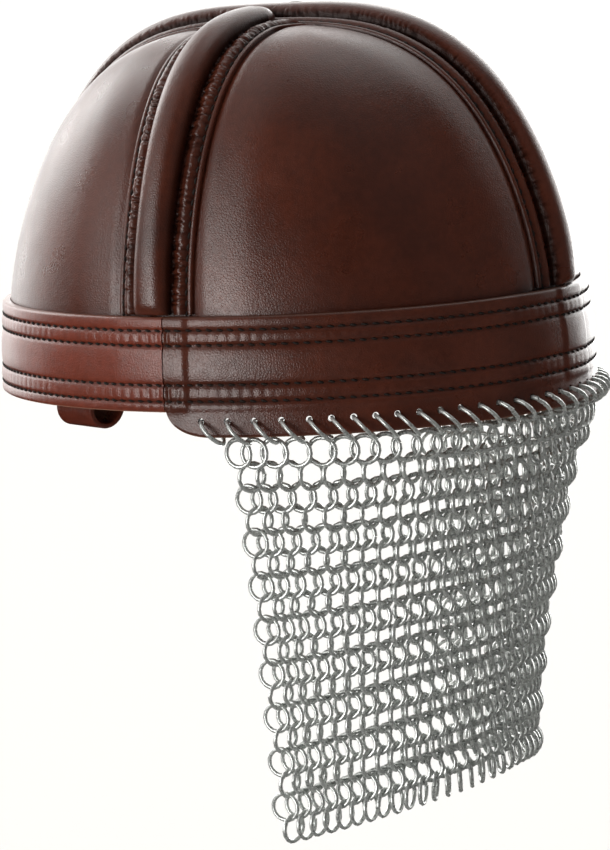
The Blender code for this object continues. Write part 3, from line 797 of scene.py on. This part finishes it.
# Hanging rings. Drawn galvanised wire, wound, cut and closed with its ends butted. Each goes through
# a punched hole in the flap and through one ring of the mail, and leans to the wearer's right.

ring_count = 39
wide_steps = 4
wide_pitch_mm = 10.1
ring_radius_mm = 5.7
wire_mm = 1.6
ring_lean = math.radians(43.0)
hole_to_edge_mm = 6.0
hole_first = math.radians(5.9)

hole_turns = [hole_first]
for _ in range(wide_steps):
    hole_turns.append(step_turn(hole_turns[-1], wide_pitch_mm))
far_turns = [math.pi - turn for turn in reversed(hole_turns)]
even_runs = np.linspace(*band_run(np.array([hole_turns[-1], far_turns[0]])), ring_count - 2 * wide_steps)
fine = np.linspace(hole_turns[-1], far_turns[0], 2001)
hole_turns = np.concatenate([hole_turns, np.interp(even_runs, band_run(fine), fine)[1:-1], far_turns])
hole_level = hole_to_edge_mm - flap_drop_mm
hole_points = band_point(hole_turns, hole_level, -back_band_wall_mm / 2)
lean_reach = 2 * ring_radius_mm * math.sin(ring_lean)
middle_turns = np.array([step_turn(turn, lean_reach / 2) for turn in hole_turns])
end_turns = np.array([step_turn(turn, lean_reach) for turn in hole_turns])
middle_normals = unit(np.stack([
    np.cos(middle_turns) / half_width_mm, np.sin(middle_turns) / half_length_mm, 0 * middle_turns], -1))
middle_tangents = np.stack([-middle_normals[:, 1], middle_normals[:, 0], 0 * middle_turns], -1)
ring_lows = hole_points + middle_tangents * lean_reach
ring_lows[:, 2] = hole_level - 2 * ring_radius_mm * math.cos(ring_lean)

# The holes are punched through the flap
punch_radius_mm = 1.3
punch_sides = 14
punch_reach_mm = 6.0
punch_mesh = bpy.data.meshes.new("punches")
punch_points, punch_faces = [], []
for point, turn in zip(hole_points, hole_turns):
    out = Vector((math.cos(turn) / half_width_mm, math.sin(turn) / half_length_mm, 0)).normalized()
    matrix = Matrix.Translation(Vector(point * MM)) @ out.to_track_quat("Z", "Y").to_matrix().to_4x4()
    start = len(punch_points)
    for level in (-punch_reach_mm, punch_reach_mm):
        for k in range(punch_sides):
            angle = 2 * math.pi * k / punch_sides
            spot = Vector((punch_radius_mm * math.cos(angle), punch_radius_mm * math.sin(angle), level)) * MM
            punch_points.append(matrix @ spot)
    punch_faces.append([start + k for k in range(punch_sides)][::-1])
    punch_faces.append([start + punch_sides + k for k in range(punch_sides)])
    for k in range(punch_sides):
        after = (k + 1) % punch_sides
        punch_faces.append([start + k, start + after, start + punch_sides + after, start + punch_sides + k])
punch_mesh.from_pydata(punch_points, [], punch_faces)
punches = new_piece("punches", punch_mesh, [])
cut = back_band.modifiers.new("holes", "BOOLEAN")
cut.operation = "DIFFERENCE"
cut.object = punches
graph = bpy.context.evaluated_depsgraph_get()
punched_mesh = bpy.data.meshes.new_from_object(back_band.evaluated_get(graph))
back_band.modifiers.clear()
back_band.data = punched_mesh
bpy.data.objects.remove(punches)
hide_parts("band_back")
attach(back_band, "root")

# Galvanised wire: zinc over drawn steel, mid grey, with a faint spangle
galvanised_wire, wire_tree, wire_shader = new_material("galvanised_wire")
wire_place = add_node(wire_tree, "ShaderNodeTexCoord").outputs["Object"]
spangle = blotches(wire_tree, wire_place, 1.4, 3.0)
wire_colour = mixed(wire_tree, spangle, srgb("#bfc3c1"), srgb("#e0e2df"))
wire_tree.links.new(wire_colour, wire_shader.inputs["Base Color"])
wire_rough = ranged(wire_tree, spangle, 0.3, 0.7, 0.20, 0.38)
wire_tree.links.new(wire_rough, wire_shader.inputs["Roughness"])
wire_shader.inputs["Metallic"].default_value = 0.64


def nodes_tree(name, inputs, result):
    """A geometry nodes tree with named inputs and one geometry output, and the inputs' sockets."""
    tree = bpy.data.node_groups.new(name, "GeometryNodeTree")
    for label, kind in inputs:
        tree.interface.new_socket(name=label, in_out="INPUT", socket_type="NodeSocket" + kind)
    tree.interface.new_socket(name=result, in_out="OUTPUT", socket_type="NodeSocketGeometry")
    return tree, add_node(tree, "NodeGroupInput").outputs


def finished(tree, instances, material, result):
    """Ends a tree: the instances made real, smooth and of one material."""
    solid = add_node(tree, "GeometryNodeRealizeInstances", {"Geometry": instances}).outputs["Geometry"]
    smoothed = add_node(tree, "GeometryNodeSetShadeSmooth", {"Geometry": solid}).outputs["Geometry"]
    done = add_node(tree, "GeometryNodeSetMaterial", {
        "Geometry": smoothed, "Material": material}).outputs["Geometry"]
    add_node(tree, "NodeGroupOutput", {result: done})


def ring_tree():
    """Geometry nodes: an open ring of wire on every point, turned by the point's own turn."""
    tree, given = nodes_tree("butted_rings", (
        ("Places", "Geometry"), ("Ring Radius", "Float"), ("Wire Radius", "Float"), ("Ring Sides", "Int"),
        ("Wire Sides", "Int"), ("Joint Gap", "Float"), ("Joint Step", "Float"), ("Tilt", "Float"),
        ("Seed", "Int"), ("Wire", "Material")), "Rings")
    gap_angle = combined(tree, "DIVIDE", given["Joint Gap"], given["Ring Radius"])
    sweep = combined(tree, "SUBTRACT", 2 * math.pi, gap_angle)
    points = combined(tree, "ADD", given["Ring Sides"], 1.0)
    arc = add_node(tree, "GeometryNodeCurveArc", {
        "Resolution": points, "Radius": given["Ring Radius"], "Sweep Angle": sweep}).outputs["Curve"]
    along = add_node(tree, "GeometryNodeSplineParameter").outputs["Factor"]
    centred = combined(tree, "SUBTRACT", along, 0.5)
    lift = combined(tree, "MULTIPLY", centred, given["Joint Step"])
    offset = add_node(tree, "ShaderNodeCombineXYZ", {"Z": lift}).outputs["Vector"]
    coil = add_node(tree, "GeometryNodeSetPosition", {"Geometry": arc, "Offset": offset}).outputs["Geometry"]
    section = add_node(tree, "GeometryNodeCurvePrimitiveCircle", {
        "Resolution": given["Wire Sides"], "Radius": given["Wire Radius"]}).outputs["Curve"]
    ring = add_node(tree, "GeometryNodeCurveToMesh", {
        "Curve": coil, "Profile Curve": section, "Fill Caps": True}).outputs["Mesh"]
    turn = add_node(tree, "GeometryNodeInputNamedAttribute", {"Name": "turn"}, data_type="FLOAT_VECTOR")
    turned = add_node(tree, "FunctionNodeEulerToRotation", {
        "Euler": turn.outputs["Attribute"]}).outputs["Rotation"]
    low = combined(tree, "MULTIPLY", given["Tilt"], -1.0)
    low_turn = add_node(tree, "ShaderNodeCombineXYZ", {"X": low, "Y": low, "Z": 0.0}).outputs["Vector"]
    high_turn = add_node(tree, "ShaderNodeCombineXYZ", {
        "X": given["Tilt"], "Y": given["Tilt"], "Z": 2 * math.pi}).outputs["Vector"]
    chance = add_node(tree, "FunctionNodeRandomValue", {
        "Min": low_turn, "Max": high_turn, "Seed": given["Seed"]}, data_type="FLOAT_VECTOR").outputs["Value"]
    spin = add_node(tree, "FunctionNodeEulerToRotation", {"Euler": chance}).outputs["Rotation"]
    rotation = add_node(tree, "FunctionNodeRotateRotation", {
        "Rotation": turned, "Rotate By": spin}, rotation_space="LOCAL").outputs["Rotation"]
    rings = add_node(tree, "GeometryNodeInstanceOnPoints", {
        "Points": given["Places"], "Instance": ring, "Rotation": rotation}).outputs["Instances"]
    finished(tree, rings, given["Wire"], "Rings")
    return tree


def grown(name, base_mesh, tree, values):
    """Runs a geometry nodes tree on a mesh and keeps the result as a plain piece."""
    piece = new_piece(name, base_mesh, [])
    modifier = piece.modifiers.new("nodes", "NODES")
    modifier.node_group = tree
    for item in tree.interface.items_tree:
        if item.item_type == "SOCKET" and item.in_out == "INPUT" and item.name in values:
            modifier[item.identifier] = values[item.name]
    graph = bpy.context.evaluated_depsgraph_get()
    mesh = bpy.data.meshes.new_from_object(piece.evaluated_get(graph))
    piece.modifiers.clear()
    piece.data = mesh
    mesh.name = name
    return piece


def turn_mesh(name, centres, frames):
    """Points in mm, each with the turn of its own frame of three axes."""
    mesh = bpy.data.meshes.new(name)
    mesh.from_pydata((np.asarray(centres) * MM).tolist(), [], [])
    layer = mesh.attributes.new("turn", "FLOAT_VECTOR", "POINT")
    turns = [Matrix(axes).transposed().to_euler("XYZ") for axes in frames]
    layer.data.foreach_set("vector", np.array([tuple(turn) for turn in turns], dtype=np.float32).ravel())
    return mesh


ring_frames = []
for top, low, normal in zip(hole_points, ring_lows, middle_normals):
    down = Vector(low - top).normalized()
    out = Vector(normal)
    out = (out - down * out.dot(down)).normalized()
    ring_frames.append((down, out, down.cross(out)))
butted_rings = ring_tree()
hanging_places = turn_mesh("hanging_places", (hole_points + ring_lows) / 2, ring_frames)
hanging = grown("hanging_rings", hanging_places, butted_rings, {
    "Ring Radius": ring_radius_mm * MM, "Wire Radius": wire_mm / 2 * MM, "Ring Sides": 16, "Wire Sides": 6,
    "Joint Gap": 0.12 * MM, "Joint Step": 0.35 * MM, "Tilt": 0.03, "Seed": 5, "Wire": galvanised_wire})
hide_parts(*["hanging_ring_%02d" % (i + 1) for i in range(ring_count)])
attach(hanging, "root")


# Mail curtain. Eighteen rows of butted rings, each ring linked with two above and two below, and the
# top row with two hanging rings each. The rows turn by turns one way and the other, as hung mail
# does, and the rings slide closer together towards the hem, where the curtain draws in to the neck.

mail_rows = 18
mail_columns = 40
mail_radius_mm = 5.2
mail_wire_mm = 1.7
mail_top_mm = 18.1
top_lift_mm = 2.0
edge_lift_mm = 0.447
mail_pitch_mm = 7.383
edge_pitch_mm = 1.010
pitch_growth_mm = 0.164
bow_power = 1.408
hem_share = 0.7315
edge_share = 0.045
mail_ease = 1.437
draw_in = 0.047
hem_turn = math.radians(15.26)
hem_gather = 0.167
slide_power = 0.615
link_level = float(ring_lows[0, 2])


def mail_ring(row, column):
    """Centre and turn of one ring. Places count columns; the outer ones crowd together at the top."""
    place = column + (1.0 if row % 2 else 0.5)
    across = (place - 0.5) / (mail_columns - 0.5)
    side = abs(2 * across - 1)
    bow = side ** bow_power
    down = row / (mail_rows - 1)
    pitch = mail_pitch_mm + edge_pitch_mm * bow + pitch_growth_mm * (row - 8.5) / 8.5
    z = -mail_top_mm + edge_lift_mm * bow - row * pitch + top_lift_mm * math.exp(-row / 1.2)
    sunk = (row + 0.6) / (mail_rows - 0.4)
    narrow = (1 - hem_share - edge_share * side ** 2) * (1 - (1 - sunk) ** mail_ease)
    share = 1 - narrow - draw_in * math.exp(-down / 0.6) * min(1.0, (row + 1) / 3)
    hung = place - 1 + math.exp(-(place - 0.5) / 2) - math.exp(-(mail_columns - 0.5 - place) / 2)
    near = float(np.interp(hung, np.arange(ring_count), end_turns))
    gathered = across - hem_gather * math.sin(2 * math.pi * across) / (2 * math.pi)
    hem = hem_turn + (math.pi - 2 * hem_turn) * gathered
    turn = near + (hem - near) * down ** slide_power
    wall = band_point(turn, link_level, -back_band_wall_mm / 2)
    lean_in = max(0.0, 1 - place / 14) - max(0.0, 1 - (mail_columns + 0.5 - place) / 14)
    swing = math.radians(12.0) * down ** 1.5 * lean_in
    open_turn = math.radians(-40.0 - 12.0 * down ** 1.5 if row % 2 else 15.0 + 15.0 * down ** 1.5)
    yaw = open_turn - swing
    out = Vector((math.cos(turn) / half_width_mm, math.sin(turn) / half_length_mm, 0)).normalized()
    along = Vector((-out.y, out.x, 0))
    flat = along * math.cos(yaw) + out * math.sin(yaw)
    up = Vector((0, 0, 1))
    return (wall[0] * share, wall[1] * share, z), (flat, up, flat.cross(up))


mail_centres, mail_frames = zip(*[
    mail_ring(row, column) for row in range(mail_rows) for column in range(mail_columns)])
mail = grown("mail_rings", turn_mesh("mail_places", mail_centres, mail_frames), butted_rings, {
    "Ring Radius": mail_radius_mm * MM, "Wire Radius": mail_wire_mm / 2 * MM, "Ring Sides": 16,
    "Wire Sides": 6, "Joint Gap": 0.12 * MM, "Joint Step": 0.25 * MM, "Tilt": 0.06, "Seed": 9,
    "Wire": galvanised_wire})
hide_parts("mail_curtain")
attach(mail, "root")


# Stitches. Waxed near-black thread in a lockstitch, four rows round the band and one along each edge
# of the ribs. Each stitch is a short arch of thread that dives into its hole at both ends.

waxed_thread, thread_tree, thread_shader = new_material("waxed_thread")
thread_place = add_node(thread_tree, "ShaderNodeTexCoord").outputs["Object"]
thread_fibres = blotches(thread_tree, thread_place, 0.6, 2.0)
thread_colour = mixed(thread_tree, thread_fibres, srgb("#15100e"), srgb("#2e2521"))
thread_tree.links.new(thread_colour, thread_shader.inputs["Base Color"])
thread_shader.inputs["Roughness"].default_value = 0.7
thread_shader.inputs["Specular IOR Level"].default_value = 0.2


def stitch_tree():
    """Geometry nodes: arches of thread at an even pitch along each path, standing on its out vector."""
    tree, given = nodes_tree("lockstitches", (
        ("Paths", "Geometry"), ("Pitch", "Float"), ("Stitch Length", "Float"), ("Thread Radius", "Float"),
        ("Rise", "Float"), ("Seed", "Int"), ("Thread", "Material")), "Stitches")
    curves = add_node(tree, "GeometryNodeMeshToCurve", {"Mesh": given["Paths"]}).outputs["Curve"]
    length = add_node(tree, "GeometryNodeSplineLength").outputs["Length"]
    spans = combined(tree, "DIVIDE", length, given["Pitch"])
    whole = add_node(tree, "ShaderNodeMath", {0: spans}, operation="ROUND").outputs[0]
    count = combined(tree, "ADD", whole, 1.0)
    even = add_node(tree, "GeometryNodeResampleCurve", {"Curve": curves, "Count": count}).outputs["Curve"]
    half = combined(tree, "MULTIPLY", given["Stitch Length"], 0.5)
    back_end = combined(tree, "MULTIPLY", half, -1.0)
    sunk = combined(tree, "MULTIPLY", given["Rise"], -1.2)
    crest = combined(tree, "MULTIPLY", given["Rise"], 2.6)
    start = add_node(tree, "ShaderNodeCombineXYZ", {"X": back_end, "Z": sunk}).outputs["Vector"]
    middle = add_node(tree, "ShaderNodeCombineXYZ", {"Z": crest}).outputs["Vector"]
    end = add_node(tree, "ShaderNodeCombineXYZ", {"X": half, "Z": sunk}).outputs["Vector"]
    arch = add_node(tree, "GeometryNodeCurveQuadraticBezier", {
        "Resolution": 6, "Start": start, "Middle": middle, "End": end}).outputs["Curve"]
    section = add_node(tree, "GeometryNodeCurvePrimitiveCircle", {
        "Resolution": 6, "Radius": given["Thread Radius"]}).outputs["Curve"]
    stitch = add_node(tree, "GeometryNodeCurveToMesh", {
        "Curve": arch, "Profile Curve": section, "Fill Caps": True}).outputs["Mesh"]
    out = add_node(tree, "GeometryNodeInputNamedAttribute", {"Name": "out"}, data_type="FLOAT_VECTOR")
    tangent = add_node(tree, "GeometryNodeInputTangent").outputs["Tangent"]
    stand = add_node(tree, "FunctionNodeAxesToRotation", {
        "Primary Axis": out.outputs["Attribute"], "Secondary Axis": tangent},
        primary_axis="Z", secondary_axis="X").outputs["Rotation"]
    chance = add_node(tree, "FunctionNodeRandomValue", {
        "Min": (-0.05, -0.04, -0.34), "Max": (0.05, 0.04, -0.14), "Seed": given["Seed"]},
        data_type="FLOAT_VECTOR").outputs["Value"]
    askew = add_node(tree, "FunctionNodeEulerToRotation", {"Euler": chance}).outputs["Rotation"]
    rotation = add_node(tree, "FunctionNodeRotateRotation", {
        "Rotation": stand, "Rotate By": askew}, rotation_space="LOCAL").outputs["Rotation"]
    stitches = add_node(tree, "GeometryNodeInstanceOnPoints", {
        "Points": even, "Instance": stitch, "Rotation": rotation}).outputs["Instances"]
    finished(tree, stitches, given["Thread"], "Stitches")
    return tree


def path_mesh(name, paths):
    """Polylines in mm with the outward vector of each point."""
    points, edges, outs = [], [], []
    for path, out in paths:
        start = len(points)
        points += (path * MM).tolist()
        outs += out.tolist()
        edges += [(start + k, start + k + 1) for k in range(len(path) - 1)]
    mesh = bpy.data.meshes.new(name)
    mesh.from_pydata(points, edges, [])
    layer = mesh.attributes.new("out", "FLOAT_VECTOR", "POINT")
    layer.data.foreach_set("vector", np.array(outs, dtype=np.float32).ravel())
    return mesh


stitches = grown("stitches", path_mesh("stitch_paths", stitch_paths), stitch_tree(), {
    "Pitch": stitch_pitch_mm * MM, "Stitch Length": 3.2 * MM, "Thread Radius": 0.52 * MM,
    "Rise": 0.65 * MM, "Seed": 2, "Thread": waxed_thread})
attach(stitches, "root")


# Strap loops. Short strips of the red-brown leather, folded into a loop and sewn inside the band's
# lower edge just in front of each temple. A chin strap goes through them.

loop_turn = math.radians(-27.0)
loop_width_mm = 22.0
loop_depth_mm = 16.4
loop_below_mm = 9.6
loop_top_mm = 24.0
loop_wall_mm = 2.0


def loop_line(inset):
    """Loop in its own plane in mm: inwards from the wall, and height."""
    radius = loop_depth_mm / 2 - inset
    centre = loop_depth_mm / 2 - loop_below_mm
    turns = np.linspace(math.pi, 2 * math.pi, 25)
    x = np.concatenate([[inset, inset], loop_depth_mm / 2 + radius * np.cos(turns)])
    z = np.concatenate([
        [loop_top_mm - 2 * inset, (loop_top_mm + centre) / 2], centre + radius * np.sin(turns)])
    bend = loop_depth_mm - inset
    climb = loop_top_mm - centre
    x = np.append(x, [bend - 0.12 * loop_depth_mm, inset + (bend - inset) * 0.42 + 0.1 * inset])
    z = np.append(z, [centre + climb * 0.4, centre + climb * 0.75 - 0.5 * inset])
    return x, z


near_turn = step_turn(loop_turn, loop_width_mm / 2)
near_wall = band_point(near_turn, loop_top_mm, -(back_band_wall_mm + clear_mm))
valley_mm = float(seam_depth(near_wall))
bow_mm = loop_width_mm ** 2 / 8 / half_width_mm
seat = -(back_band_wall_mm + panel_wall_mm + 2 * clear_mm + bow_mm + valley_mm)
out_x, out_z = loop_line(0.0)
in_x, in_z = loop_line(loop_wall_mm)
loop_out = unit(np.array([math.cos(loop_turn) / half_width_mm, math.sin(loop_turn) / half_length_mm, 0.0]))
loop_along = np.array([-loop_out[1], loop_out[0], 0.0])
rim = np.array([0.0, 0.25, 0.6, 1.0])
rim_in = 0.5 * (1 - np.sqrt(1 - (1 - rim) ** 2))
side_mm = loop_width_mm / 2
offsets = np.concatenate([0.5 * rim - side_mm, np.linspace(-8, 8, 7), side_mm - 0.5 * rim[::-1]])
tucks = np.concatenate([rim_in, np.zeros(7), rim_in[::-1]]) / (loop_wall_mm / 2)


def loop_side(x, z, middle_x, middle_z, offsets, tucks):
    """One face of the loop at one step round it, drawn in to the leather's middle at both cut edges."""
    x, z = x + (middle_x - x) * tucks, z + (middle_z - z) * tucks
    wall = band_point(loop_turn, z, seat)
    return wall + loop_along * offsets[:, None] - loop_out * x[:, None]


loop_rows = []
for k in range(len(out_x)):
    middle = (out_x[k] + in_x[k]) / 2, (out_z[k] + in_z[k]) / 2
    loop_rows.append(np.concatenate([
        loop_side(out_x[k], out_z[k], *middle, offsets, tucks),
        loop_side(in_x[k], in_z[k], *middle, offsets[::-1], tucks[::-1])]))
loop_sections = np.array(loop_rows)
for side, shape in both_sides(loop_sections):
    loop_mesh = closed_body("folded_strap_loop_%s" % side, shape)
    # The whole loop gets half the darkening and dulling that paints shade in the grooves
    add_value(loop_mesh, "painted_shade_and_darkening", np.full(len(loop_mesh.vertices), 0.5))
    loop = new_piece("folded_strap_loop_%s" % side, loop_mesh, [red_brown_leather])
    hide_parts("strap_loop_%s" % side)
    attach(loop, "root")
